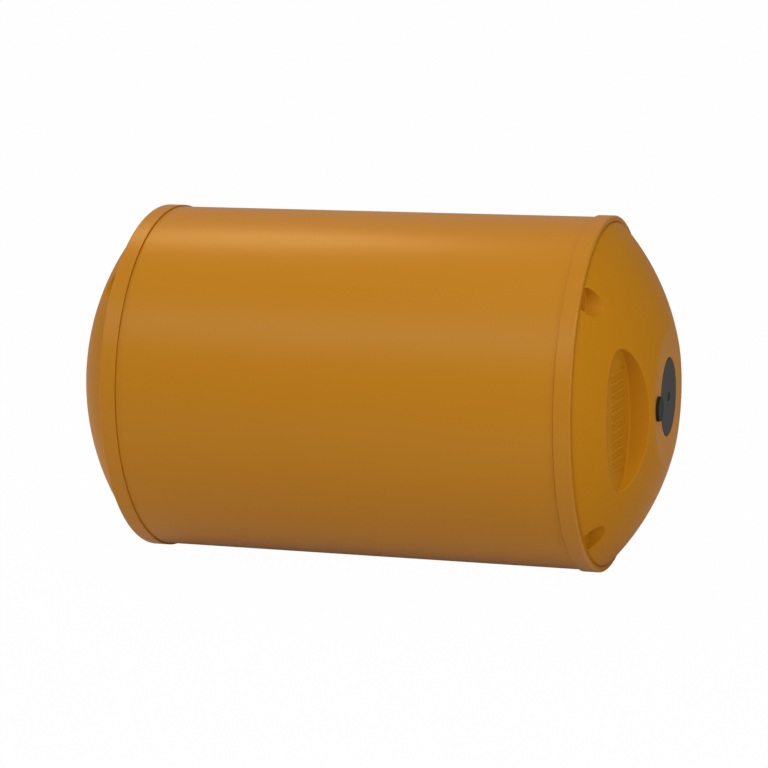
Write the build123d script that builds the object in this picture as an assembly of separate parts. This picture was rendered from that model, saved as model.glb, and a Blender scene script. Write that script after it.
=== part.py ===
from build123d import *
import math
import os

# Barrier float: an extruded barrel closed by two moulded end caps and filled with closed-cell foam.
# Millimetres. X runs along the barrel, Z is up, and the origin is the middle of the barrel.
# The port end faces +X. The recess of its cap faces -Y, and that of the plain cap faces +Y.

# Barrel
barrel_length = 754.0
barrel_radius = 300.0
barrel_wall = 9.0
seam_chamfer = 1.5
seam_gap = 0.3

# End cap: rim, dome and spigot
cap_wall = 8.0
band_proud = 3.0
band_width = 28.2
lip_width = 9.5
lip_round = 3.0
lip_inner_round = 1.0
groove_width = 2.0
groove_depth = 2.5
dome_step = 2.5
dome_foot_bevel = 1.5
dome_arc_radius = 421.0
dome_rise = 97.0
plateau_radius = 117.0
plateau_wall = 10.0
spigot_length = 45.0
spigot_gap = 0.4

# Recess in the face of each cap, with a row of low ribs on its floor
recess_margin = 9.1
recess_width = 109.8
recess_length = 236.0
recess_sink = 49.2
recess_tilt = 8.5
recess_foot_round = 2.0
recess_edge_round = 1.5
rib_count = 11
rib_pitch = 16.0
rib_length = 56.0
rib_width = 5.5
rib_height = 2.5

# Drive notches around the rim
notch_count = 4
notch_offset = 282.0
notch_radius = 23.0
notch_foot_round = 3.0

# Fill port with its screw plug and seal
plug_head_radius = 65.5
plug_head_thickness = 8.0
plug_head_chamfer = 0.8
plug_neck_radius = 52.0
plug_neck_length = 24.0
plug_neck_wall = 6.0
plug_rib_width = 5.0
head_clearance = 0.9
neck_clearance = 0.4
port_chamfer = 2.0
port_boss_wall = 8.0
seal_thickness = 3.0
seal_edge_margin = 1.5
key_length = 21.0
key_width = 13.0
key_depth = 2.0
key_corner = 4.0

# Vent hole with its push-in cap
vent_offset = 90.0
vent_cap_radius = 21.0
vent_cap_height = 5.5
vent_cap_round = 1.8
vent_stem_radius = 9.0
vent_stem_length = 23.0
vent_stem_clearance = 0.4
vent_bead_proud = 1.2
vent_bead_length = 3.0
vent_boss_wall = 6.0
vent_boss_length = 18.0

# Foam core
foam_gap = 0.4

# How closely two places must agree to count as one, and half a turn in degrees
same_place = 1e-6
half_turn = 180.0

# Places along X that neighbouring pieces share
seam_x = barrel_length / 2
lip_x = seam_x + seam_gap + band_width
groove_x = lip_x - groove_depth
foot_x = lip_x + dome_step
plateau_x = foot_x + dome_rise
seat_x = plateau_x - plug_head_thickness - seal_thickness

# Radii that neighbouring pieces share
bore_radius = barrel_radius - barrel_wall
band_radius = barrel_radius + band_proud
lip_inner_radius = band_radius - lip_width
foot_radius = lip_inner_radius - groove_width
spigot_radius = bore_radius - spigot_gap
spigot_bore_radius = spigot_radius - cap_wall
recess_offset = plateau_radius + recess_margin + recess_width / 2
neck_hole_radius = plug_neck_radius + neck_clearance
vent_hole_radius = vent_stem_radius + vent_stem_clearance
boss_end_x = seat_x - plug_neck_length


def dome_centre():
    """Centre of the dome's arc: it passes the foot's edge and the plateau's edge, bulging outwards."""
    chord = Vector(plateau_x - foot_x, plateau_radius - foot_radius)
    rise = math.sqrt(dome_arc_radius**2 - (chord.length / 2) ** 2)
    across = Vector(chord.Y, -chord.X).normalized()
    return Vector(foot_x, foot_radius) + chord / 2 + across * rise


def dome_point(radius, shrink=0.0):
    """Point of the dome's arc at a radius, on the surface that lies inside it by shrink."""
    centre = dome_centre()
    height = math.sqrt((dome_arc_radius - shrink) ** 2 - (radius - centre.Y) ** 2)
    return (centre.X + height, radius)


def arc_between(start, end, shrink=0.0):
    """Arc of the dome between two of its points, through the point at their middle radius."""
    middle = dome_point((start[1] + end[1]) / 2, shrink)
    return ThreePointArc(start, middle, end)


def spin(outline):
    """Body of revolution about X from a closed outline in the XY plane."""
    return revolve(make_face(outline), Axis.X, 360)


def rounded_corner(face, x, radius, size):
    """Rounds the corner of a flat outline that lies at one place."""
    corner = face.vertices().sort_by_distance((x, radius, 0))[0]
    return fillet(corner, size)


def cap_blank():
    """Solid cap: spigot, band with its rounded lip, groove and domed face with a flat plateau."""
    foot = dome_point(foot_radius - dome_foot_bevel)
    plateau = (plateau_x, plateau_radius)
    rim = Polyline(
        (seam_x - spigot_length, 0),
        (seam_x - spigot_length, spigot_radius),
        (seam_x + seam_gap, spigot_radius),
        (seam_x + seam_gap, band_radius),
        (lip_x, band_radius),
        (lip_x, lip_inner_radius),
        (groove_x, lip_inner_radius),
        (groove_x, foot_radius),
        (foot_x - dome_foot_bevel, foot_radius),
        foot,
    )
    top = Polyline(plateau, (plateau_x, 0), (seam_x - spigot_length, 0))
    face = make_face([rim, arc_between(foot, plateau), top])
    face = rounded_corner(face, lip_x, band_radius, lip_round)
    face = rounded_corner(face, lip_x, lip_inner_radius, lip_inner_round)
    return revolve(face, Axis.X, 360)


def hollow(start_x, radius, shrink):
    """Space inside the cap, from start_x outwards: as wide as radius, and under the dome by shrink."""
    end_x = plateau_x - plateau_wall + cap_wall - shrink
    centre = dome_centre()
    arc_radius = dome_arc_radius - shrink
    edge_radius = centre.Y + math.sqrt(arc_radius**2 - (end_x - centre.X) ** 2)
    start = dome_point(radius, shrink)
    end = (end_x, edge_radius)
    sides = Polyline(end, (end_x, 0), (start_x, 0), (start_x, radius), start)
    return spin([sides, arc_between(start, end, shrink)])


def recess_plane():
    """Plane of the recess floor, which leans outwards. Its X runs outwards and its Y runs along the recess."""
    lean = math.radians(recess_tilt)
    return Plane(
        origin=(plateau_x - recess_sink, -recess_offset, 0),
        x_dir=(-math.sin(lean), -math.cos(lean), 0),
        z_dir=(math.cos(lean), -math.sin(lean), 0),
    )


def recess_block(grow=0.0):
    """Oval block that takes the recess out of the dome, or its wall out of the hollow when grown."""
    oval = Ellipse(recess_width / 2 + grow, recess_length / 2 + grow)
    base = recess_plane().offset(-grow)
    block = extrude(base * oval, plateau_x - foot_x + grow)
    foot = block.edges().sort_by_distance(base.origin)[0]
    return fillet(foot, recess_foot_round + grow / 2)


def recess_ribs():
    """Row of low ribs with round ends, which stand on the recess floor."""
    sunk = recess_plane().offset(-cap_wall / 2)
    row = GridLocations(0, rib_pitch, 1, rib_count)
    sketch = Sketch() + [sunk * spot * SlotOverall(rib_length, rib_width) for spot in row]
    return extrude(sketch, rib_height + cap_wall / 2)


def notch_blocks(grow=0.0):
    """Round blocks that take the drive notches out of the dome, evenly spaced between the recess's ends."""
    spots = PolarLocations(notch_offset, notch_count, start_angle=half_turn / notch_count)
    base = Plane.YZ.offset(groove_x - grow)
    discs = Sketch() + [base * spot * Circle(notch_radius + grow) for spot in spots]
    blocks = extrude(discs, plateau_x - groove_x)
    blocks = fillet(blocks.edges().group_by(Axis.X)[0], notch_foot_round + grow / 2)
    if grow:
        return blocks
    return blocks & extrude(base * Circle(lip_inner_radius), plateau_x - groove_x)


def vent_axis(x):
    """Plane across the vent hole's axis at a place along X."""
    return Plane(origin=(x, -vent_offset, 0), x_dir=(0, 1, 0), z_dir=(1, 0, 0))


def disc(x, radius, length):
    """Round bar on the float's axis, from x inwards by length."""
    return extrude(Plane.YZ.offset(x) * Circle(radius), -length)


def on_dome(edge):
    """Whether the middle of an edge lies on the dome's arc."""
    spot = edge @ 0.5
    centre = dome_centre()
    reach = math.hypot(spot.X - centre.X, math.hypot(spot.Y, spot.Z) - centre.Y)
    return math.isclose(reach, dome_arc_radius, rel_tol=same_place)


def recessed_blank():
    """Solid cap with its recess, whose edge on the dome is rounded."""
    cap = cap_blank() - recess_block()
    edge = cap.edges().filter_by(GeomType.BSPLINE).filter_by(on_dome)
    return fillet(edge, recess_edge_round)


def moulded_cap():
    """Cap as it leaves the mould, closed, with its recess, notches and even wall."""
    inside = hollow(seam_x - spigot_length, spigot_bore_radius, cap_wall)
    inside = inside - recess_block(cap_wall) - notch_blocks(cap_wall)
    outside = recessed_blank() - notch_blocks()
    return outside - inside + (recess_ribs() & cap_blank())


def port_cap():
    """Cap of the port end: the moulding with a seat for the plug and a hole for the vent cap."""
    boss_radius = neck_hole_radius + port_boss_wall
    under_x = plateau_x - plateau_wall / 2
    boss = disc(under_x, boss_radius, under_x - boss_end_x)
    vent_boss = extrude(
        vent_axis(under_x) * Circle(vent_hole_radius + vent_boss_wall),
        plateau_x - vent_boss_length - under_x,
    )
    seat = disc(plateau_x, plug_head_radius + head_clearance, plateau_x - seat_x)
    neck_hole = disc(plateau_x, neck_hole_radius, plateau_x - boss_end_x)
    vent_hole = extrude(vent_axis(plateau_x) * Circle(vent_hole_radius), -vent_boss_length)
    cap = moulded_cap() + seat_ring(boss_radius) + boss + vent_boss - seat - neck_hole - vent_hole
    mouth = cap.edges().filter_by(GeomType.CIRCLE).filter_by(
        lambda edge: abs(edge.radius - plug_head_radius - head_clearance) < port_chamfer / 10
    )
    return chamfer(mouth.sort_by(Axis.X)[-1], port_chamfer)


def seat_ring(boss_radius):
    """Thick ring under the plateau that carries the plug's seat."""
    ring_radius = plug_head_radius + head_clearance + port_boss_wall
    depth = plateau_x - seat_x + port_boss_wall / 2 - plateau_wall / 2
    ring = disc(plateau_x - plateau_wall / 2, ring_radius, depth)
    return ring - disc(plateau_x, boss_radius / 2, plateau_x - boss_end_x)


def fill_plug():
    """Screw plug: a flush head with a key socket, on a hollow neck with two crossing ribs inside."""
    head = disc(plateau_x, plug_head_radius, plug_head_thickness)
    head = chamfer(head.edges().group_by(Axis.X)[-1], plug_head_chamfer)
    under_x = plateau_x - plug_head_thickness
    length = under_x - seat_x + plug_neck_length
    neck = disc(under_x, plug_neck_radius, length)
    core = disc(under_x, plug_neck_radius - plug_neck_wall, length)
    bars = Rectangle(plug_neck_radius * 2, plug_rib_width) + Rectangle(plug_rib_width, plug_neck_radius * 2)
    ribs = extrude(Plane.YZ.offset(under_x) * bars, -length) & core
    key = Plane.YZ.offset(plateau_x) * RectangleRounded(key_length, key_width, key_corner)
    socket = extrude(key, -key_depth)
    return head + (neck - core) + ribs - socket


def plug_seal():
    """Flat ring under the plug's head."""
    ring = disc(seat_x + seal_thickness, plug_head_radius - seal_edge_margin, seal_thickness)
    return ring - disc(plateau_x, neck_hole_radius + seal_edge_margin, plateau_x - seat_x)


def vent_cap():
    """Push-in cap: a low rounded button on a stem with a bead that snaps behind the boss."""
    button = extrude(vent_axis(plateau_x) * Circle(vent_cap_radius), vent_cap_height)
    button = fillet(button.edges().group_by(Axis.X)[-1], vent_cap_round)
    stem = extrude(vent_axis(plateau_x) * Circle(vent_stem_radius), -vent_stem_length)
    bead_x = plateau_x - vent_boss_length - vent_stem_clearance
    bead = extrude(vent_axis(bead_x) * Circle(vent_hole_radius + vent_bead_proud), -vent_bead_length)
    return button + stem + bead


def barrel():
    """Extruded tube with both outer end edges chamfered."""
    tube = Cylinder(barrel_radius, barrel_length, rotation=(0, 90, 0))
    tube = chamfer(tube.edges().group_by(Axis.X)[0] + tube.edges().group_by(Axis.X)[-1], seam_chamfer)
    return tube - Cylinder(bore_radius, barrel_length, rotation=(0, 90, 0))


def far_end(piece):
    """The same piece at the plain end: half a turn about Z."""
    return Rot(0, 0, half_turn) * piece


def foam_end():
    """Half of the foam core: it fills the barrel up to the spigot, and then the cap."""
    mouth_x = seam_x - spigot_length - foam_gap
    wide = disc(mouth_x, bore_radius - foam_gap, mouth_x)
    shrink = cap_wall + foam_gap
    narrow = hollow(0, spigot_bore_radius - foam_gap, shrink)
    return wide + narrow - recess_block(shrink) - notch_blocks(shrink)


def foam_core():
    """Foam core: both halves, cut back round the plug's boss and the vent's boss at the port end."""
    boss_radius = plug_head_radius + head_clearance + port_boss_wall + foam_gap
    port_room = disc(plateau_x, boss_radius, plateau_x - boss_end_x + foam_gap)
    vent_room = extrude(
        vent_axis(plateau_x) * Circle(vent_hole_radius + vent_boss_wall + foam_gap),
        -vent_stem_length - foam_gap,
    )
    half = foam_end()
    return half - port_room - vent_room + far_end(half)


def main():
    """Builds each piece and writes it to its own file."""
    os.makedirs("parts", exist_ok=True)
    pieces = {
        "barrel": barrel(),
        "end_cap_port": port_cap(),
        "end_cap_plain": far_end(moulded_cap()),
        "foam_core": foam_core(),
        "fill_plug": fill_plug(),
        "plug_seal": plug_seal(),
        "vent_cap": vent_cap(),
    }
    for name, piece in pieces.items():
        export_step(piece, f"parts/{name}.step")


main()
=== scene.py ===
"""Visual model of a barrier float: a plastic barrel with two moulded end caps, a screw plug and a vent cap.

Metres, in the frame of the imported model: X along the barrel, Z up, the recess of the port cap towards -Y
and that of the plain cap towards +Y.
Each cap is computed in its own coordinates: x along the barrel, r the distance from its axis and an
angle round it that is zero towards the recess.
"""

import logging
import math
from abc import ABC, abstractmethod
from dataclasses import dataclass, field, replace
from enum import Enum
from typing import Any

import bmesh
import bpy
import numpy as np
from mathutils import Matrix, Vector


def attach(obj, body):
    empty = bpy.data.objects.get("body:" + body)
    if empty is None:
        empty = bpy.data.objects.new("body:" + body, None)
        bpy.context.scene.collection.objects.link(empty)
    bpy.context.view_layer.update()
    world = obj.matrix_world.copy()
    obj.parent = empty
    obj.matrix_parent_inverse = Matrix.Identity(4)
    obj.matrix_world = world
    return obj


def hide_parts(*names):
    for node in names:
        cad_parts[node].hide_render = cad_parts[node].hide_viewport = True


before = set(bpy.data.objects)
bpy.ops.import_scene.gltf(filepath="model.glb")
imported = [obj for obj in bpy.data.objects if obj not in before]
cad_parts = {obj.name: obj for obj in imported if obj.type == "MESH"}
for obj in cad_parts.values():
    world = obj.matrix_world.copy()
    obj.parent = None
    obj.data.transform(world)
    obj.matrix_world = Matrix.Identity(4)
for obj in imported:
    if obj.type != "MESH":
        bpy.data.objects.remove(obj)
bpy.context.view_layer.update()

WELD = 2e-6
NEWTON_STEPS = 8
HALVINGS = 45

Array = np.ndarray
log = logging.getLogger("barrier_float")


class End(Enum):
    """The ends of the float, and the sign of X at each. The plain cap is turned by half a turn about Z."""

    PORT = 1.0
    PLAIN = -1.0


# Curves and grids


def arc(centre: tuple[float, float], radius: float, start: float, end: float, steps: int) -> Array:
    """Points of an arc in the plane of x and r.

    Args:
        centre: middle of the arc, as x and r.
        radius: its radius.
        start: first angle in degrees, zero along x and a quarter turn along r.
        end: last angle in degrees.
        steps: number of stretches.

    Returns:
        Array of x and r, one row per point.
    """
    angles = np.radians(np.linspace(start, end, steps + 1))
    return np.stack([centre[0] + radius * np.cos(angles), centre[1] + radius * np.sin(angles)], axis=1)


def supported(rows: Array, reach: float) -> Array:
    """Adds a point close to both ends of each long straight stretch, so that it shades flat.

    Args:
        rows: points of a profile.
        reach: distance of the added points from the ends of the stretch.

    Returns:
        The profile with the added points.
    """
    steps = np.diff(rows, axis=0)
    lengths = np.linalg.norm(steps, axis=1)
    long = lengths > 4 * reach
    unit = steps[long] / lengths[long, None]
    near = np.stack([rows[:-1][long] + unit * reach, rows[1:][long] - unit * reach], axis=1)
    spots = np.repeat(np.flatnonzero(long) + 1, 2)
    return np.insert(rows, spots, near.reshape(-1, 2), axis=0)


def turned(x: Array, r: Array, angle: Array) -> Array:
    """Points in space from their place along the barrel, their radius and their angle.

    Args:
        x: places along the barrel.
        r: distances from the axis.
        angle: angles round the axis in radians, zero towards the recess.

    Returns:
        Array of points, with the shape of the three arrays taken together.
    """
    x, r, angle = np.broadcast_arrays(x, r, angle)
    return np.stack([x, -r * np.cos(angle), r * np.sin(angle)], axis=-1)


def ramp(first: Array, last: Array, parts: Array) -> Array:
    """Rows of values that go from one row to another.

    Args:
        first: values at part zero.
        last: values at part one.
        parts: the parts of the way, one for each row.

    Returns:
        Array with one row for each part.
    """
    return first + (last - first) * parts[:, None]


@dataclass
class Skin:
    """Points and faces that are collected into one surface."""

    points: list[Array] = field(default_factory=list)
    faces: list[Array] = field(default_factory=list)
    size: int = 0

    def add_grid(self, grid: Array, closed: bool = False) -> None:
        """Adds a grid of points and the faces between them.

        Args:
            grid: array of rows, columns and coordinates.
            closed: whether the last column is joined to the first one.
        """
        rows, columns = grid.shape[:2]
        index = np.arange(rows * columns).reshape(rows, columns) + self.size
        if closed:
            index = np.concatenate([index, index[:, :1]], axis=1)
        quads = np.stack([index[:-1, :-1], index[:-1, 1:], index[1:, 1:], index[1:, :-1]], axis=-1)
        self.points.append(grid.reshape(-1, 3))
        self.faces.append(quads.reshape(-1, 4))
        self.size += rows * columns

    def add_turned(self, rows: Array, angles: Array, closed: bool = False) -> None:
        """Adds a profile turned about the barrel's axis.

        Args:
            rows: the profile's x and r.
            angles: the angles at which it is repeated.
            closed: whether it goes all the way round.
        """
        self.add_grid(turned(rows[:, :1], rows[:, 1:], angles[None, :]), closed)

    def build(self, name: str) -> bpy.types.Object:
        """Makes the object, with its coinciding points welded and its faces turned outwards.

        Args:
            name: name of the object.

        Returns:
            The new object, smooth shaded.
        """
        mesh = bpy.data.meshes.new(name)
        mesh.from_pydata(np.concatenate(self.points), [], np.concatenate(self.faces))
        shape = bmesh.new()
        shape.from_mesh(mesh)
        bmesh.ops.remove_doubles(shape, verts=shape.verts, dist=WELD)
        bmesh.ops.recalc_face_normals(shape, faces=shape.faces)
        shape.to_mesh(mesh)
        shape.free()
        mesh.shade_smooth()
        piece = bpy.data.objects.new(name, mesh)
        bpy.context.scene.collection.objects.link(piece)
        log.info("%s: %d points, %d faces", name, len(mesh.vertices), len(mesh.polygons))
        return piece


def full_turn(columns: int) -> Array:
    """Angles of a full turn without the last one, which is the first again.

    Args:
        columns: number of angles.

    Returns:
        The angles in radians.
    """
    return np.arange(columns) * (2 * math.pi / columns)


# Pockets sunk into a surface


@dataclass(frozen=True)
class Lip:
    """Roundings of a pocket: where its wall meets the surface above and the floor below.

    Each takes up no more than a part of the depth. The wall leans by the spread, so that no rings meet.
    """

    top: float
    foot: float
    spread: float = 0.00015
    part: float = 0.45
    steps: int = 5

    def rings(self, depth: Array, slope: Array) -> tuple[Array, Array, Array]:
        """Cross-section of the wall at each column, as a ball rolled along both of its edges leaves it.

        Args:
            depth: height of the surface above the floor at each column.
            slope: how fast that surface rises away from the pocket at each column.

        Returns:
            Distances from the outline, positive outside it, then the drop below the surface for the
            outer rings and the height over the floor for the inner ones, and a mask of the outer rings.
        """
        top, foot = (np.minimum(size, self.part * depth) for size in (self.top, self.foot))
        turn = np.linspace(1.0, 0.0, self.steps + 1)[:, None] * (math.pi / 2 - np.arctan(slope))
        centre = depth + slope * top - top * np.hypot(1.0, slope)
        away = top - top * np.cos(turn)
        drop = depth + slope * away - (centre + top * np.sin(turn))
        lean = np.linspace(0.0, math.pi / 2, self.steps + 1)[:, None]
        inwards = -foot + foot * np.cos(lean)
        height = foot - foot * np.sin(lean)
        distance = np.concatenate([away, inwards])
        parts = np.linspace(1.0, -1.0, len(distance))[:, None]
        outer = np.arange(len(distance)) <= self.steps
        return distance + parts * self.spread, np.concatenate([drop, height]), outer


# End caps


@dataclass(frozen=True)
class CapSizes:
    """Sizes of an end cap in metres."""

    seam_x: float = 0.3773
    band_radius: float = 0.303
    band_width: float = 0.0282
    band_foot_round: float = 0.0005
    lip_width: float = 0.0095
    lip_round: float = 0.003
    lip_inner_round: float = 0.001
    groove_width: float = 0.0020
    groove_depth: float = 0.0025
    dome_step: float = 0.0025
    dome_bevel: float = 0.0015
    dome_arc: float = 0.421
    dome_rise: float = 0.097
    plateau_radius: float = 0.117
    plateau_round: float = 0.02
    spigot_length: float = 0.045
    spigot_radius: float = 0.2906
    spigot_wall: float = 0.008
    port_radius: float = 0.0664
    port_chamfer: float = 0.0015
    port_depth: float = 0.011
    support: float = 0.0006
    plateau_support: float = 0.002
    port_support: float = 0.0004
    round_steps: int = 6
    small_steps: int = 4

    @property
    def lip_x(self) -> float:
        """Place of the lip's face along X."""
        return self.seam_x + self.band_width

    @property
    def groove_x(self) -> float:
        """Place of the groove's bottom along X."""
        return self.lip_x - self.groove_depth

    @property
    def foot_x(self) -> float:
        """Place along X where the dome would start without its bevel."""
        return self.lip_x + self.dome_step

    @property
    def plateau_x(self) -> float:
        """Place of the plateau along X."""
        return self.foot_x + self.dome_rise

    @property
    def lip_inner_radius(self) -> float:
        """Radius of the groove's outer wall."""
        return self.band_radius - self.lip_width

    @property
    def foot_radius(self) -> float:
        """Radius of the groove's inner wall, which is the dome's foot."""
        return self.lip_inner_radius - self.groove_width


@dataclass(frozen=True)
class RecessSizes:
    """Sizes of the oval recess in metres and degrees, and the part of the dome that is meshed round it."""

    offset: float = 0.181
    half_width: float = 0.0549
    half_length: float = 0.118
    sink: float = 0.0492
    tilt: float = 8.5
    lip: Lip = Lip(top=0.003, foot=0.0025)
    inner_radius: float = 0.122
    outer_radius: float = 0.2485
    half_angle: float = 38.0


@dataclass(frozen=True)
class NotchSizes:
    """Sizes of the drive notches in metres and degrees, and the part of the dome meshed round each one."""

    count: int = 4
    offset: float = 0.282
    radius: float = 0.023
    lip: Lip = Lip(top=0.0025, foot=0.003)
    mouth_radius: float = 0.283
    half_angle: float = 8.0


@dataclass(frozen=True)
class RibSizes:
    """Sizes of the low ribs on the recess floor in metres."""

    count: int = 11
    pitch: float = 0.016
    length: float = 0.056
    width: float = 0.0055
    height: float = 0.0025
    round: float = 0.0016
    flare: float = 0.0012
    sunk_part: float = 0.3
    steps: int = 5
    columns: int = 48


class Dome:
    """The cap's face: a circular arc turned about the axis, between its foot and the plateau."""

    def __init__(self, sizes: CapSizes) -> None:
        """Finds the arc's centre from the two points that it joins.

        Args:
            sizes: the cap's sizes.
        """
        self.radius = sizes.dome_arc
        foot = np.array([sizes.foot_x, sizes.foot_radius])
        edge = np.array([sizes.plateau_x, sizes.plateau_radius])
        chord = edge - foot
        half = np.linalg.norm(chord) / 2
        across = np.array([chord[1], -chord[0]]) / (2 * half)
        self.centre = foot + chord / 2 + across * math.sqrt(self.radius**2 - half**2)

    def x(self, r: Array) -> Array:
        """Place of the dome along X at a radius.

        Args:
            r: distances from the axis.

        Returns:
            Places along X.
        """
        return self.centre[0] + np.sqrt(self.radius**2 - (r - self.centre[1]) ** 2)

    def slope(self, r: Array) -> Array:
        """Change of x with r on the dome, which is negative.

        Args:
            r: distances from the axis.

        Returns:
            Slopes.
        """
        return -(r - self.centre[1]) / (self.x(r) - self.centre[0])

    def rows(self, first: float, last: float, steps: int) -> Array:
        """Profile of the dome between two radii.

        Args:
            first: radius of the first point.
            last: radius of the last point.
            steps: number of stretches.

        Returns:
            Array of x and r.
        """
        r = np.linspace(first, last, steps + 1)
        return np.stack([self.x(r), r], axis=1)

    def smooth_normals(self, mesh: bpy.types.Mesh, side: float) -> None:
        """Gives each point that lies on the dome the dome's own normal, so that no facet shows.

        Args:
            mesh: the cap's mesh.
            side: direction along X in which the cap faces.
        """
        points, normals = np.empty((2, len(mesh.vertices) * 3))
        mesh.vertices.foreach_get("co", points)
        mesh.vertex_normals.foreach_get("vector", normals)
        normals = normals.reshape(-1, 3)
        x, y, z = points.reshape(-1, 3).T
        r = np.hypot(y, z)
        reach_x, reach_r = x * side - self.centre[0], r - self.centre[1]
        on_dome = np.abs(np.hypot(reach_x, reach_r) - self.radius) < WELD
        outwards = reach_r / np.maximum(r, WELD)
        exact = np.stack([side * reach_x, outwards * y, outwards * z], axis=1)
        normals[on_dome] = exact[on_dome] / self.radius
        mesh.normals_split_custom_set_from_vertices(normals)


class Recess:
    """The oval recess: a floor that leans outwards, and a wall square to it that fades out on the dome."""

    def __init__(self, sizes: RecessSizes, cap: CapSizes, dome: Dome) -> None:
        """Sets the floor's own axes.

        Args:
            sizes: the recess's sizes.
            cap: the cap's sizes.
            dome: the cap's dome.
        """
        self.sizes = sizes
        self.dome = dome
        self.lean = math.radians(sizes.tilt)
        self.floor_x = cap.plateau_x - sizes.sink

    def place(self, across: Array, along: Array, height: Array) -> tuple[Array, Array, Array]:
        """Place in the cap of points that are given over the recess floor.

        Args:
            across: distances across the floor, outwards.
            along: distances along the floor.
            height: heights over it.

        Returns:
            Places along X, radii and angles.
        """
        x = self.floor_x - across * math.sin(self.lean) + height * math.cos(self.lean)
        out = self.sizes.offset + across * math.cos(self.lean) + height * math.sin(self.lean)
        return x, np.hypot(out, along), np.arctan2(along, out)

    def dome_height(self, across: Array, along: Array) -> Array:
        """Height of the dome over the floor's plane, found by Newton's method.

        Args:
            across: distances across the floor, outwards.
            along: distances along the floor.

        Returns:
            Heights, negative where the dome lies under the plane.
        """
        height = np.zeros(np.broadcast(across, along).shape)
        for _ in range(NEWTON_STEPS):
            x, r, angle = self.place(across, along, height)
            rate = math.cos(self.lean) - self.dome.slope(r) * np.cos(angle) * math.sin(self.lean)
            height = height - (x - self.dome.x(r)) / rate
        return height

    def over_floor(self, r: Array, angle: Array) -> Array:
        """Place over the floor of points on the dome.

        Args:
            r: radii.
            angle: angles.

        Returns:
            Distances across and along the floor.
        """
        out = r * np.cos(angle) - self.sizes.offset
        rise = self.dome.x(r) - self.floor_x
        return np.stack([out * math.cos(self.lean) - rise * math.sin(self.lean), r * np.sin(angle)])

    def outline(self, spots: Array) -> tuple[Array, Array]:
        """Where the rays from the recess's middle through some points leave the recess.

        The recess ends at the oval, or before it where its floor runs out through the dome (by halving).

        Args:
            spots: the points' distances across and along the floor.

        Returns:
            Distances across and along the floor of the outline's points, and a mask of those on the oval.
        """
        ray = spots / np.hypot(*spots)
        far = 1 / np.hypot(ray[0] / self.sizes.half_width, ray[1] / self.sizes.half_length)
        on_oval = self.dome_height(*(ray * far)) > 0
        low, high = np.zeros_like(far), far
        for _ in range(HALVINGS):
            middle = (low + high) / 2
            inside = self.dome_height(*(ray * middle)) > 0
            low = np.where(inside, middle, low)
            high = np.where(inside, high, middle)
        return ray * np.where(on_oval, far, low), on_oval

    def outward(self, outline: Array, on_oval: Array) -> Array:
        """Directions square to the outline, away from the recess.

        Args:
            outline: distances across and along the floor of the outline's points.
            on_oval: mask of the points on the oval.

        Returns:
            The two parts of each direction.
        """
        across, along = outline
        step = WELD * 10
        height = self.dome_height(across, along)
        fall_across = height - self.dome_height(across + step, along)
        fall_along = height - self.dome_height(across, along + step)
        side = np.where(on_oval, across / self.sizes.half_width**2, fall_across)
        length = np.where(on_oval, along / self.sizes.half_length**2, fall_along)
        return np.stack([side, length]) / np.hypot(side, length)

    def edge(self, rows: Array, angles: Array) -> tuple[Array, Array]:
        """Radii and angles once round the part of the dome that is meshed with the recess.

        Args:
            rows: radii of the cap's rows there, from the outer one inwards.
            angles: angles of the cap's columns there.

        Returns:
            The radii and angles.
        """
        inner, outer = (np.full(len(angles) - 2, rows[place]) for place in (-1, 0))
        first, last = (np.full(len(rows), angles[place]) for place in (0, -1))
        r = np.concatenate([rows, inner, rows[::-1], outer])
        return r, np.concatenate([first, angles[1:-1], last, angles[-2:0:-1]])

    def grid(self, rows: Array, angles: Array, outer_steps: int = 9, floor_steps: int = 6) -> Array:
        """Surface of the recess and of the dome round it, as rings of points.

        Args:
            rows: radii of the cap's rows there, from the outer one inwards.
            angles: angles of the cap's columns there.
            outer_steps: number of rings between the edge and the recess.
            floor_steps: number of rings on the floor.

        Returns:
            Array of rings, columns and coordinates.
        """
        edge = self.over_floor(*self.edge(rows, angles))
        outline, on_oval = self.outline(edge)
        away = self.outward(outline, on_oval)
        depth = np.where(on_oval, self.dome_height(*outline), 0.0)
        step = self.sizes.lip.top
        beyond = self.dome_height(*(outline + away * step))
        slope = np.where(on_oval, (beyond - depth) / step, 0.0)
        distance, height, outer = self.sizes.lip.rings(depth, slope)
        rings = outline[:, None] + away[:, None] * distance
        around = ramp(edge[:, None], rings[:, :1], np.linspace(0.0, 1.0, outer_steps + 1)[:-1])
        middle = np.zeros_like(edge)[:, None]
        floor = ramp(rings[:, -1:], middle, np.linspace(0.0, 1.0, floor_steps + 1)[1:])
        over = self.dome_height(*rings[:, outer]) - height[outer]
        heights = [self.dome_height(*around), over, height[~outer], np.zeros_like(floor[0])]
        spots = np.concatenate([around, rings, floor], axis=1)
        return turned(*self.place(*spots, np.concatenate(heights)))


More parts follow.
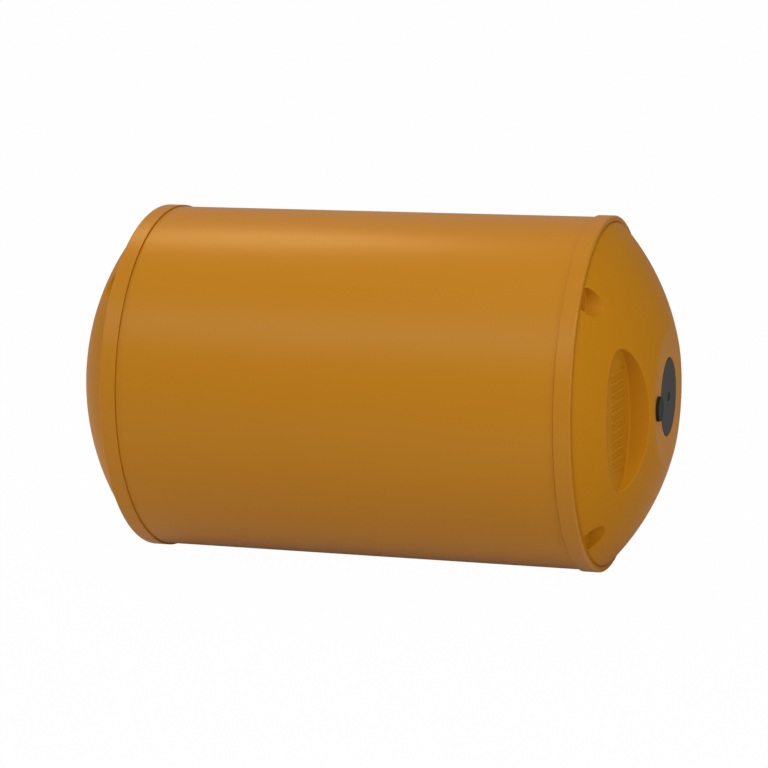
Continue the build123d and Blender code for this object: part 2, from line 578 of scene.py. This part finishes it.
class Notch:
    """A round drive notch that opens into the groove."""

    def __init__(self, sizes: NotchSizes, cap: CapSizes, dome: Dome) -> None:
        """Keeps the sizes and the dome.

        Args:
            sizes: the notch's sizes.
            cap: the cap's sizes.
            dome: the cap's dome.
        """
        self.sizes = sizes
        self.floor_x = cap.groove_x
        self.bevel_radius = cap.foot_radius - cap.dome_bevel
        self.dome = dome

    def grid(self, rows: Array, angles: Array, middle: float, steps: int = 5) -> Array:
        """Surface of the notch and of the dome round it, as rings of points that are open at the groove.

        Columns that start beside the notch's mouth keep to their own radius. The others run to its arch.

        Args:
            rows: the cap's rows there as x and r, from the groove inwards.
            angles: angles of the cap's columns there, from the notch's middle.
            middle: angle of the notch's middle.
            steps: number of rings on the dome and on the floor.

        Returns:
            Array of rings, columns and coordinates.
        """
        sizes = self.sizes
        inner = np.repeat(rows[-1:], len(angles) - 2, axis=0)
        edge_x, edge_r = np.concatenate([rows, inner, rows[::-1]]).T
        first, last = (np.full(len(rows), angles[place]) for place in (0, -1))
        edge_angle = np.concatenate([first, angles[1:-1], last])
        mouth = (edge_r > sizes.mouth_radius) & (np.abs(edge_angle) >= angles[-1] - WELD)
        turn = self.arch_angles(edge_r, edge_angle, mouth)
        aim = np.stack([np.cos(turn), np.sin(turn)])
        arch = sizes.radius * aim + [[sizes.offset], [0.0]]
        bearing = np.arctan2(arch[1], arch[0])
        r = np.where(mouth, edge_r, np.hypot(*arch))
        depth = np.where(mouth, edge_x, self.dome.x(r)) - self.floor_x
        slope = np.where(mouth, 0.0, self.dome.slope(r) * np.cos(turn - bearing))
        distance, height, outer = sizes.lip.rings(depth, slope)
        out, aside = arch[:, None] + aim[:, None] * distance
        beside = np.sign(edge_angle) * (np.abs(bearing) + distance / edge_r)
        ring_r = np.where(mouth, edge_r, np.hypot(out, aside))
        rings = np.stack([ring_r, np.where(mouth, beside, np.arctan2(aside, out))])
        edge = np.stack([edge_r, edge_angle])
        around = ramp(edge[:, None], rings[:, :1], np.linspace(0.0, 1.0, steps + 1)[:-1])
        goal = np.stack([np.where(mouth, edge_r, edge_r[mouth].min()), np.zeros_like(edge_r)])
        floor = ramp(rings[:, -1:], goal[:, None], np.linspace(0.0, 1.0, steps + 1)[1:])
        dome_r = np.minimum(np.concatenate([around[0], ring_r]), self.bevel_radius)
        x = np.where(mouth, edge_x, self.dome.x(dome_r))
        ring_x = np.where(outer[:, None], x[steps:] - height, self.floor_x + height)
        r, angle = np.concatenate([around, rings, floor], axis=1)
        x = np.concatenate([x[:steps], ring_x, np.full_like(floor[0], self.floor_x)])
        return turned(x, r, angle + middle)

    def arch_angles(self, edge_r: Array, edge_angle: Array, mouth: Array) -> Array:
        """Angle on the notch's circle at which each column meets it.

        Args:
            edge_r: radii of the columns' first points.
            edge_angle: their angles.
            mouth: mask of the columns beside the mouth.

        Returns:
            Angles round the notch's own middle, falling from one side of the mouth to the other.
        """
        offset, radius = self.sizes.offset, self.sizes.radius
        ratio = (edge_r**2 - offset**2 - radius**2) / (2 * offset * radius)
        beside = np.arccos(np.clip(ratio, -1.0, 1.0))
        beside = np.where(edge_angle < 0, -beside, beside - 2 * math.pi)
        place = np.stack([edge_r * np.cos(edge_angle), edge_r * np.sin(edge_angle)])
        run = np.concatenate([[0.0], np.cumsum(np.hypot(*np.diff(place, axis=1)))])
        return np.interp(run, run[mouth], beside[mouth])


class RibRow:
    """Row of low rounded ribs on the recess floor."""

    def __init__(self, sizes: RibSizes, recess: Recess) -> None:
        """Keeps the sizes and the recess.

        Args:
            sizes: the ribs' sizes.
            recess: the recess that they stand in.
        """
        self.sizes = sizes
        self.recess = recess

    def grids(self) -> list[Array]:
        """Surface of each rib: an outline with round ends, drawn in ring by ring as it rises.

        Returns:
            One array of rings, columns and coordinates for each rib.
        """
        sizes = self.sizes
        turn = full_turn(sizes.columns)
        shoulder = 1 - math.sqrt(0.5)
        flare = sizes.flare * np.array([1.0, shoulder, 0.0])
        foot = sizes.flare * np.array([-sizes.sunk_part, shoulder, 1.0])
        sweep = np.linspace(0.0, math.pi / 2, sizes.steps + 1)
        inset = -sizes.round * (1 - np.cos(sweep))
        rise = sizes.height - sizes.round * (1 - np.sin(sweep))
        half_width = sizes.width / 2
        offsets = np.concatenate([flare, inset, [-half_width]])
        heights = np.concatenate([foot, rise, [sizes.height]])[:, None] * np.ones_like(turn)
        reach = half_width + offsets[:, None]
        run = sizes.length / 2 - half_width
        across = run * np.sign(np.cos(turn)) * (np.abs(np.cos(turn)) > WELD) + reach * np.cos(turn)
        along = reach * np.sin(turn)
        middles = (np.arange(sizes.count) - (sizes.count - 1) / 2) * sizes.pitch
        return [turned(*self.recess.place(across, along + middle, heights)) for middle in middles]


# Finishes


@dataclass(frozen=True)
class Recipe:
    """The nodes of a finish, of the floor or of the world."""

    tree: bpy.types.NodeTree

    def add(self, kind: str, inputs: dict[str | int, Any], **settings: str) -> bpy.types.NodeOutputs:
        """Adds a node.

        Args:
            kind: the node's type.
            inputs: what goes into its sockets.
            settings: what it is set to, such as its operation.

        Returns:
            The node's outputs.
        """
        node = self.tree.nodes.new(kind)
        for name, value in settings.items():
            setattr(node, name, value)
        self.fill(node, inputs)
        return node.outputs

    def fill(self, node: bpy.types.Node, inputs: dict[str | int, Any]) -> None:
        """Fills a node's sockets.

        Args:
            node: the node.
            inputs: by each socket's name or number, its value or the output that is linked to it.
        """
        for name, value in inputs.items():
            if isinstance(value, bpy.types.NodeSocket):
                self.tree.links.new(value, node.inputs[name])
            else:
                node.inputs[name].default_value = value


@dataclass(frozen=True)
class Plastic:
    """A moulded or extruded plastic, with its colour, gloss and surface.

    Attributes:
        name: name of the material.
        colour: linear colour.
        shade: the same plastic where it is slightly darker.
        roughness: roughness of the surface.
        gloss: specular level.
        band_gloss: specular level of a cap's band, which the mould leaves smoother, or None.
        grain: size of the fine texture in metres.
        grain_height: height of that texture in metres.
        drawn: how much longer the fine texture is along X than across it.
        swell: height of the broad unevenness in metres.
        swells: repeats of that unevenness per metre.
        clouds: repeats per metre of the variation of colour and sheen.
        sheen: how far the roughness strays from its middle, as a part of it.
    """

    name: str
    colour: tuple[float, float, float]
    shade: tuple[float, float, float]
    roughness: float
    gloss: float = 0.5
    band_gloss: float | None = None
    grain: float = 0.0012
    grain_height: float = 0.00003
    drawn: float = 1.0
    swell: float = 0.0002
    swells: float = 4.0
    clouds: float = 9.0
    sheen: float = 0.07

    def build(self) -> bpy.types.Material:
        """Makes the material's nodes.

        Returns:
            The new material.
        """
        material = bpy.data.materials.new(self.name)
        material.use_nodes = True
        recipe = Recipe(material.node_tree)
        place = recipe.add("ShaderNodeTexCoord", {})["Object"]
        stretch = (1 / self.drawn, 1.0, 1.0)
        drawn = recipe.add("ShaderNodeMapping", {"Vector": place, "Scale": stretch})["Vector"]
        fine, cloud, broad = (
            recipe.add("ShaderNodeTexNoise", {"Vector": drawn, "Scale": scale, "Detail": detail})["Fac"]
            for scale, detail in ((1 / self.grain, 3.0), (self.clouds, 4.0), (self.swells, 1.0))
        )
        colours = {"A": (*self.colour, 1.0), "B": (*self.shade, 1.0)}
        tint = recipe.add("ShaderNodeMix", {"Factor": cloud, **colours}, data_type="RGBA")
        least, most = self.roughness * (1 - self.sheen), self.roughness * (1 + self.sheen)
        rough = recipe.add("ShaderNodeMapRange", {"Value": cloud, "To Min": least, "To Max": most})
        wave = recipe.add("ShaderNodeBump", {"Height": broad, "Strength": 1.0, "Distance": self.swell})
        raised = {"Height": fine, "Strength": 1.0, "Distance": self.grain_height}
        texture = recipe.add("ShaderNodeBump", {**raised, "Normal": wave["Normal"]})
        shader = material.node_tree.nodes["Principled BSDF"]
        surface = {"Base Color": tint["Result"], "Roughness": rough["Result"], "Normal": texture["Normal"]}
        recipe.fill(shader, {**surface, "Specular IOR Level": self.gloss})
        if self.band_gloss is not None:
            recipe.fill(shader, {"Specular IOR Level": self.band_level(recipe, place)})
        return material

    def band_level(self, recipe: Recipe, place: bpy.types.NodeSocket) -> bpy.types.NodeSocket:
        """Adds the specular level, which rises where the distance from the axis reaches the band's.

        Args:
            recipe: the material's nodes.
            place: the point's coordinates.

        Returns:
            The level's socket.
        """
        across = recipe.add("ShaderNodeVectorMath", {0: place, 1: (0.0, 1.0, 1.0)}, operation="MULTIPLY")
        radius = recipe.add("ShaderNodeVectorMath", {0: across["Vector"]}, operation="LENGTH")
        start = CapSizes.band_radius - CapSizes.lip_round
        span = {"From Min": start, "From Max": start + CapSizes.band_foot_round}
        levels = {"To Min": self.gloss, "To Max": self.band_gloss}
        return recipe.add("ShaderNodeMapRange", {"Value": radius["Value"], **span, **levels})["Result"]


BARREL_PLASTIC = Plastic(
    name="barrel_extruded",
    colour=(0.55, 0.2225, 0.009),
    shade=(0.52, 0.2105, 0.0085),
    roughness=0.34,
    gloss=0.2,
    drawn=12.0,
    grain=0.0015,
    grain_height=0.00001,
    swell=0.0003,
)
CAP_PLASTIC = Plastic(
    name="cap_moulded",
    colour=(0.54, 0.217, 0.009),
    shade=(0.51, 0.205, 0.0085),
    roughness=0.34,
    gloss=0.02,
    band_gloss=0.24,
    grain=0.0010,
    grain_height=0.000015,
)
PLUG_PLASTIC = Plastic(
    name="plug_moulded",
    colour=(0.044, 0.047, 0.048),
    shade=(0.038, 0.041, 0.042),
    roughness=0.45,
    gloss=0.03,
    grain=0.0008,
    grain_height=0.00002,
    swell=0.0,
)
VENT_PLASTIC = replace(
    PLUG_PLASTIC,
    name="vent_moulded",
    colour=(0.019, 0.020, 0.021),
    shade=(0.016, 0.017, 0.018),
)
SEAL_RUBBER = Plastic(
    name="seal_soft",
    colour=(0.02, 0.02, 0.02),
    shade=(0.016, 0.016, 0.016),
    roughness=0.75,
    grain=0.0006,
    grain_height=0.00003,
    swell=0.0,
)
FOAM = Plastic(
    name="foam_cells",
    colour=(0.72, 0.66, 0.45),
    shade=(0.60, 0.53, 0.33),
    roughness=0.95,
    gloss=0.2,
    grain=0.0016,
    grain_height=0.0004,
    swell=0.001,
)


# Pieces


class Assembly(ABC):
    """A group of pieces that is made and dressed together."""

    finish: Plastic

    @abstractmethod
    def mesh(self) -> list[bpy.types.Object]:
        """Makes or finds the pieces.

        Returns:
            The pieces.
        """

    def dress(self) -> None:
        """Makes the pieces and gives them the finish."""
        material = self.finish.build()
        for piece in self.mesh():
            piece.data.materials.clear()
            piece.data.materials.append(material)
            piece.data.polygons.foreach_set("material_index", np.zeros(len(piece.data.polygons), np.int32))
            log.info("%s: finish %s", piece.name, material.name)


@dataclass
class CadPieces(Assembly):
    """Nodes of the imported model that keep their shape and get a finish."""

    nodes: tuple[str, ...]
    finish: Plastic

    def mesh(self) -> list[bpy.types.Object]:
        """Finds the nodes.

        Returns:
            Their objects.
        """
        return [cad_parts[name] for name in self.nodes]


def stand_for(piece: bpy.types.Object, node: str) -> bpy.types.Object:
    """Puts a new piece in the place of a node.

    Args:
        piece: the new piece.
        node: name of the node that it replaces.

    Returns:
        The piece.
    """
    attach(piece, "root")
    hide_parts(node)
    return piece


@dataclass(frozen=True)
class BarrelSizes:
    """Sizes of the barrel in metres."""

    length: float = 0.754
    radius: float = 0.300
    wall: float = 0.009
    edge: float = 0.0010
    edge_steps: int = 4
    columns: int = 360


@dataclass
class Barrel(Assembly):
    """The extruded tube."""

    sizes: BarrelSizes = BarrelSizes()
    finish: Plastic = BARREL_PLASTIC

    def mesh(self) -> list[bpy.types.Object]:
        """Turns the tube's section about the axis.

        Returns:
            The tube.
        """
        sizes = self.sizes
        end = sizes.length / 2
        bore = sizes.radius - sizes.wall
        centre = (end - sizes.edge, sizes.radius - sizes.edge)
        rounding = arc(centre, sizes.edge, 0.0, 90.0, sizes.edge_steps)
        half = np.concatenate([[[0.0, bore], [end, bore]], rounding, [[0.0, sizes.radius]]])
        half = supported(half, sizes.edge)
        section = np.concatenate([half, half[::-1][1:] * [-1.0, 1.0]])
        skin = Skin()
        skin.add_turned(section, full_turn(sizes.columns), closed=True)
        return [stand_for(skin.build("barrel_tube"), "barrel")]


@dataclass
class EndCap(Assembly):
    """One end cap: band, lip, groove, dome with its recess and notches, plateau and spigot."""

    end: End
    node: str
    sizes: CapSizes = CapSizes()
    recess_sizes: RecessSizes = RecessSizes()
    notch_sizes: NotchSizes = NotchSizes()
    rib_sizes: RibSizes = RibSizes()
    finish: Plastic = CAP_PLASTIC
    columns: int = 360
    foot_steps: int = 9
    face_steps: int = 26

    def mesh(self) -> list[bpy.types.Object]:
        """Computes the cap's surface and faces it towards its end.

        Returns:
            The cap.
        """
        dome = Dome(self.sizes)
        recess = Recess(self.recess_sizes, self.sizes, dome)
        notch = Notch(self.notch_sizes, self.sizes, dome)
        skin = Skin()
        skin.add_turned(self.rim_rows(), full_turn(self.columns), closed=True)
        self.add_foot(skin, dome, notch)
        self.add_face(skin, dome, recess)
        skin.add_turned(self.plateau_rows(dome), full_turn(self.columns), closed=True)
        for grid in RibRow(self.rib_sizes, recess).grids():
            skin.add_grid(grid, closed=True)
        skin.points = [points * [self.end.value, self.end.value, 1.0] for points in skin.points]
        piece = skin.build(f"{self.node}_shell")
        dome.smooth_normals(piece.data, self.end.value)
        return [stand_for(piece, self.node)]

    def degrees(self, first: float, last: float) -> Array:
        """Angles of the cap's columns between two of them.

        Args:
            first: first angle in degrees.
            last: last angle in degrees.

        Returns:
            The angles in radians, both ends among them.
        """
        step = 360.0 / self.columns
        return np.radians(np.arange(round(first / step), round(last / step) + 1) * step)

    def rim_rows(self) -> Array:
        """Profile from the hidden side by way of the spigot, the band and the lip to the groove's bottom.

        Returns:
            Array of x and r.
        """
        sizes = self.sizes
        inner = sizes.spigot_radius - sizes.spigot_wall
        spigot_x = sizes.seam_x - sizes.spigot_length
        back_x = sizes.groove_x - sizes.spigot_wall
        band, foot = sizes.band_radius, sizes.band_foot_round
        lip, turn, wall = sizes.lip_round, sizes.lip_inner_round, sizes.lip_inner_radius
        rows = np.concatenate(
            [
                [[back_x, WELD], [back_x, inner], [spigot_x, inner], [spigot_x, sizes.spigot_radius]],
                [[sizes.seam_x, sizes.spigot_radius]],
                arc((sizes.seam_x + foot, band - foot), foot, 180.0, 90.0, sizes.small_steps),
                arc((sizes.lip_x - lip, band - lip), lip, 90.0, 0.0, sizes.round_steps),
                arc((sizes.lip_x - turn, wall + turn), turn, 0.0, -90.0, sizes.small_steps),
                [[sizes.groove_x, wall]],
            ]
        )
        return supported(rows, sizes.support)

    def add_foot(self, skin: Skin, dome: Dome, notch: Notch) -> None:
        """Adds the groove's bottom, the dome's foot and the notches in it.

        Args:
            skin: the cap's surface.
            dome: the cap's dome.
            notch: the notch that is repeated.
        """
        sizes = self.sizes
        start = sizes.foot_radius - sizes.dome_bevel
        rows = np.concatenate(
            [
                [[sizes.groove_x, sizes.lip_inner_radius], [sizes.groove_x, sizes.foot_radius]],
                [[sizes.foot_x - sizes.dome_bevel, sizes.foot_radius]],
                dome.rows(start, self.recess_sizes.outer_radius, self.foot_steps),
            ]
        )
        spacing = 360.0 / self.notch_sizes.count
        reach = self.notch_sizes.half_angle
        for number in range(self.notch_sizes.count):
            middle = (number + 0.5) * spacing
            grid = notch.grid(rows, self.degrees(-reach, reach), math.radians(middle))
            skin.add_grid(grid)
            skin.add_turned(rows, self.degrees(middle + reach, middle + spacing - reach))

    def add_face(self, skin: Skin, dome: Dome, recess: Recess) -> None:
        """Adds the dome between the notches and the plateau, with the recess in it.

        Args:
            skin: the cap's surface.
            dome: the cap's dome.
            recess: the cap's recess.
        """
        sizes = self.recess_sizes
        rows = dome.rows(sizes.outer_radius, sizes.inner_radius, self.face_steps)
        skin.add_turned(rows, self.degrees(sizes.half_angle, 360.0 - sizes.half_angle))
        grid = recess.grid(rows[:, 1], self.degrees(-sizes.half_angle, sizes.half_angle))
        skin.add_grid(grid, closed=True)

    def plateau_rows(self, dome: Dome) -> Array:
        """Profile from the dome over the plateau's edge to the axis or into the port.

        Args:
            dome: the cap's dome.

        Returns:
            Array of x and r.
        """
        sizes = self.sizes
        lean = math.degrees(math.atan(-dome.slope(sizes.plateau_radius)))
        run = sizes.plateau_round * math.tan(math.radians(lean / 2))
        centre = (sizes.plateau_x - sizes.plateau_round, sizes.plateau_radius - run)
        edge = arc(centre, sizes.plateau_round, lean, 0.0, sizes.round_steps)
        rim = dome.rows(self.recess_sizes.inner_radius, edge[0, 1], 1)[:1]
        if self.end is End.PLAIN:
            return supported(np.concatenate([rim, edge, [[sizes.plateau_x, WELD]]]), sizes.plateau_support)
        chamfer, bottom = sizes.port_chamfer, sizes.plateau_x - sizes.port_depth
        port = [
            [sizes.plateau_x, sizes.port_radius + chamfer],
            [sizes.plateau_x - chamfer, sizes.port_radius],
            [bottom, sizes.port_radius],
            [bottom, WELD],
        ]
        return supported(np.concatenate([rim, edge, port]), sizes.port_support)


@dataclass(frozen=True)
class PlugSizes:
    """Sizes of the screw plug in metres."""

    top_x: float = 0.505
    radius: float = 0.0655
    thickness: float = 0.008
    edge: float = 0.0012
    edge_steps: int = 5
    neck_radius: float = 0.052
    neck_x: float = 0.470
    key_length: float = 0.021
    key_width: float = 0.013
    key_depth: float = 0.002
    key_lip: Lip = Lip(top=0.0006, foot=0.0008, steps=3)
    key_power: float = 8.0
    field_radius: float = 0.0393
    field_parts: tuple[float, ...] = (0.0, 0.5, 0.9)
    floor_parts: tuple[float, ...] = (0.1, 0.5, 1.0)
    support: float = 0.0006
    columns: int = 144


@dataclass
class ScrewPlug(Assembly):
    """The flush screw plug with its key socket."""

    sizes: PlugSizes = PlugSizes()
    finish: Plastic = PLUG_PLASTIC

    def mesh(self) -> list[bpy.types.Object]:
        """Turns the plug's outside about the axis and sinks the socket into its head.

        Returns:
            The plug.
        """
        sizes = self.sizes
        under_x = sizes.top_x - sizes.thickness
        centre = (sizes.top_x - sizes.edge, sizes.radius - sizes.edge)
        angles = full_turn(sizes.columns)
        rows = np.concatenate(
            [
                [[sizes.neck_x, WELD], [sizes.neck_x, sizes.neck_radius], [under_x, sizes.neck_radius]],
                [[under_x, sizes.radius]],
                arc(centre, sizes.edge, 90.0, 0.0, sizes.edge_steps),
                [[sizes.top_x, sizes.field_radius]],
            ]
        )
        skin = Skin()
        skin.add_turned(supported(rows, sizes.support), angles, closed=True)
        skin.add_grid(self.socket(angles), closed=True)
        return [stand_for(skin.build("fill_plug_head"), "fill_plug")]

    def socket(self, angles: Array) -> Array:
        """Rings from a circle on the head to the socket's outline and down into it.

        The outline is a rectangle with round corners, met by a ray at each angle.

        Args:
            angles: the plug's angles.

        Returns:
            Array of rings, columns and coordinates.
        """
        sizes = self.sizes
        half = np.array([[sizes.key_length], [sizes.key_width]]) / 2
        ray = np.abs(np.stack([np.cos(angles), np.sin(angles)])) / half
        reach = (ray**sizes.key_power).sum(axis=0) ** (-1 / sizes.key_power)
        depth = np.full_like(angles, sizes.key_depth)
        distance, height, outer = sizes.key_lip.rings(depth, np.zeros_like(angles))
        edge = np.full_like(angles, sizes.field_radius)
        flat = ramp(edge, reach + distance[0], np.array(sizes.field_parts))
        floor = ramp(reach + distance[-1], np.full_like(angles, WELD), np.array(sizes.floor_parts))
        bottom = sizes.top_x - sizes.key_depth
        ring_x = np.where(outer[:, None], sizes.top_x - height, bottom + height)
        x = np.concatenate([np.full_like(flat, sizes.top_x), ring_x, np.full_like(floor, bottom)])
        return turned(x, np.concatenate([flat, reach + distance, floor]), angles[None, :])


@dataclass(frozen=True)
class VentSizes:
    """Sizes of the vent cap in metres."""

    offset: float = 0.090
    base_x: float = 0.505
    radius: float = 0.021
    height: float = 0.0055
    edge: float = 0.0018
    edge_steps: int = 6
    dish: float = 0.0006
    dish_radius: float = 0.0147
    stem_radius: float = 0.009
    stem_x: float = 0.482
    support: float = 0.0005
    columns: int = 96


@dataclass
class VentCap(Assembly):
    """The low button beside the plug, with its stem."""

    sizes: VentSizes = VentSizes()
    finish: Plastic = VENT_PLASTIC

    def mesh(self) -> list[bpy.types.Object]:
        """Turns the button's section about its own axis and moves it to its place.

        Returns:
            The vent cap.
        """
        sizes = self.sizes
        top_x = sizes.base_x + sizes.height
        centre = (top_x - sizes.edge, sizes.radius - sizes.edge)
        rows = np.concatenate(
            [
                [[sizes.stem_x, WELD], [sizes.stem_x, sizes.stem_radius]],
                [[sizes.base_x, sizes.stem_radius], [sizes.base_x, sizes.radius]],
                arc(centre, sizes.edge, 90.0, 0.0, sizes.edge_steps),
                [[top_x - sizes.dish, sizes.dish_radius], [top_x - sizes.dish, WELD]],
            ]
        )
        skin = Skin()
        skin.add_turned(supported(rows, sizes.support), full_turn(sizes.columns), closed=True)
        skin.points = [points - [0.0, sizes.offset, 0.0] for points in skin.points]
        return [stand_for(skin.build("vent_cap_button"), "vent_cap")]


# Studio

WHITE = (1.0, 1.0, 1.0, 1.0)


@dataclass(frozen=True)
class SoftBox:
    """A rectangular lamp that faces the float's middle.

    Attributes:
        name: name of the lamp.
        azimuth: direction from the float in degrees, zero in front (-Y) and a quarter turn at +X.
        elevation: height of that direction over the floor in degrees.
        distance: distance from the float in metres.
        width: width in metres.
        height: height in metres.
        power: power in watts.
        colour: linear colour of its light.
    """

    name: str
    azimuth: float
    elevation: float
    distance: float
    width: float
    height: float
    power: float
    colour: tuple[float, float, float] = (1.0, 1.0, 1.0)

    def build(self) -> None:
        """Makes the lamp."""
        turn, rise = math.radians(self.azimuth), math.radians(self.elevation)
        away = Vector((math.sin(turn) * math.cos(rise), -math.cos(turn) * math.cos(rise), math.sin(rise)))
        lamp = bpy.data.lights.new(self.name, "AREA")
        lamp.shape = "RECTANGLE"
        lamp.size = self.width
        lamp.size_y = self.height
        lamp.energy = self.power
        lamp.color = self.colour
        holder = bpy.data.objects.new(self.name, lamp)
        holder.location = away * self.distance
        holder.rotation_euler = away.to_track_quat("Z", "Y").to_euler()
        bpy.context.scene.collection.objects.link(holder)
        log.info("%s: %.0f W", self.name, self.power)


@dataclass(frozen=True)
class Studio:
    """Floor, world, lamps and camera."""

    floor_z: float = -0.303
    floor_reach: float = 60.0
    floor_colour: float = 0.82
    floor_white: float = 0.985
    shine: float = 0.12
    ambient: float = 0.24
    lens: float = 123.87
    place: tuple[float, float, float] = (1.350, -4.282, 1.032)
    right: tuple[float, float, float] = (0.9553, 0.2947, -0.0248)
    up: tuple[float, float, float] = (-0.0430, 0.2213, 0.9743)
    forward: tuple[float, float, float] = (-0.2926, 0.9296, -0.2241)
    lamps: tuple[SoftBox, ...] = (
        SoftBox("key_lamp", 26.0, 52.0, 4.0, 1.8, 1.2, 37.0),
        SoftBox("top_lamp", 50.0, 74.0, 4.0, 1.6, 1.6, 16.0),
        SoftBox("front_lamp", 36.0, 22.0, 4.0, 2.0, 1.6, 16.0),
        SoftBox("band_lamp", -22.0, 42.0, 4.0, 2.0, 1.2, 18.0),
        SoftBox("left_lamp", -80.0, 26.0, 4.0, 1.5, 2.0, 30.0),
        SoftBox("right_lamp", 68.0, 8.0, 4.0, 0.7, 1.2, 16.0),
        SoftBox("back_lamp", -138.0, 57.0, 4.0, 1.2, 0.6, 30.0, (1.0, 0.62, 0.3)),
    )

    def build(self) -> None:
        """Makes everything that isn't part of the float."""
        self.build_floor()
        self.build_world()
        self.build_camera()
        for lamp in self.lamps:
            lamp.build()

    def seen(self, recipe: Recipe) -> bpy.types.NodeSocket:
        """Adds a value: one for rays from the camera and through glass, and the shine for glossy rays.

        Args:
            recipe: the nodes of the floor or of the world.

        Returns:
            The value's socket.
        """
        path = recipe.add("ShaderNodeLightPath", {})
        gloss = {0: path["Is Glossy Ray"], 1: self.shine}
        value = recipe.add("ShaderNodeMath", gloss, operation="MULTIPLY")
        for ray in ("Is Camera Ray", "Is Transmission Ray"):
            value = recipe.add("ShaderNodeMath", {0: path[ray], 1: value["Value"]}, operation="MAXIMUM")
        return value["Value"]

    def build_floor(self) -> None:
        """Makes the pale floor, which is white where nothing shades it."""
        reach = self.floor_reach
        mesh = bpy.data.meshes.new("studio_floor")
        corners = [(-reach, -reach), (reach, -reach), (reach, reach), (-reach, reach)]
        mesh.from_pydata([(x, y, self.floor_z) for x, y in corners], [], [(0, 1, 2, 3)])
        floor = bpy.data.objects.new("studio_floor", mesh)
        bpy.context.scene.collection.objects.link(floor)
        material = bpy.data.materials.new("studio_floor")
        material.use_nodes = True
        nodes = material.node_tree.nodes
        nodes.remove(nodes["Principled BSDF"])
        recipe = Recipe(material.node_tree)
        paint = recipe.add("ShaderNodeBsdfDiffuse", {"Color": (*[self.floor_colour] * 3, 1.0)})
        white = recipe.add("ShaderNodeEmission", {"Color": WHITE})
        seen = {0: self.seen(recipe), 1: self.floor_white}
        part = recipe.add("ShaderNodeMath", seen, operation="MULTIPLY")
        layers = {"Fac": part["Value"], 1: paint["BSDF"], 2: white["Emission"]}
        blend = recipe.add("ShaderNodeMixShader", layers)
        recipe.fill(nodes["Material Output"], {"Surface": blend["Shader"]})
        mesh.materials.append(material)

    def build_world(self) -> None:
        """Makes the world: white where it is seen, and an even soft light elsewhere."""
        world = bpy.data.worlds.new("studio")
        bpy.context.scene.world = world
        world.use_nodes = True
        recipe = Recipe(world.node_tree)
        levels = {"Value": self.seen(recipe), "To Min": self.ambient, "To Max": 1.0}
        level = recipe.add("ShaderNodeMapRange", levels)
        shine = {"Color": WHITE, "Strength": level["Result"]}
        recipe.fill(world.node_tree.nodes["Background"], shine)

    def build_camera(self) -> None:
        """Makes the camera at the photograph's place and angle."""
        data = bpy.data.cameras.new("camera")
        data.lens = self.lens
        camera = bpy.data.objects.new("camera", data)
        turn = Matrix([self.right, self.up, -Vector(self.forward)]).transposed()
        camera.matrix_world = Matrix.Translation(self.place) @ turn.to_4x4()
        bpy.context.scene.collection.objects.link(camera)
        bpy.context.scene.camera = camera
        bpy.context.scene.view_settings.view_transform = "Standard"


def main() -> None:
    """Makes the float and the studio round it."""
    logging.basicConfig(level=logging.INFO, format="%(message)s")
    assemblies: list[Assembly] = [
        Barrel(),
        EndCap(End.PORT, "end_cap_port"),
        EndCap(End.PLAIN, "end_cap_plain"),
        ScrewPlug(),
        VentCap(),
        CadPieces(("plug_seal",), SEAL_RUBBER),
        CadPieces(("foam_core",), FOAM),
    ]
    for assembly in assemblies:
        assembly.dress()
    Studio().build()


if __name__ == "__main__":
    main()
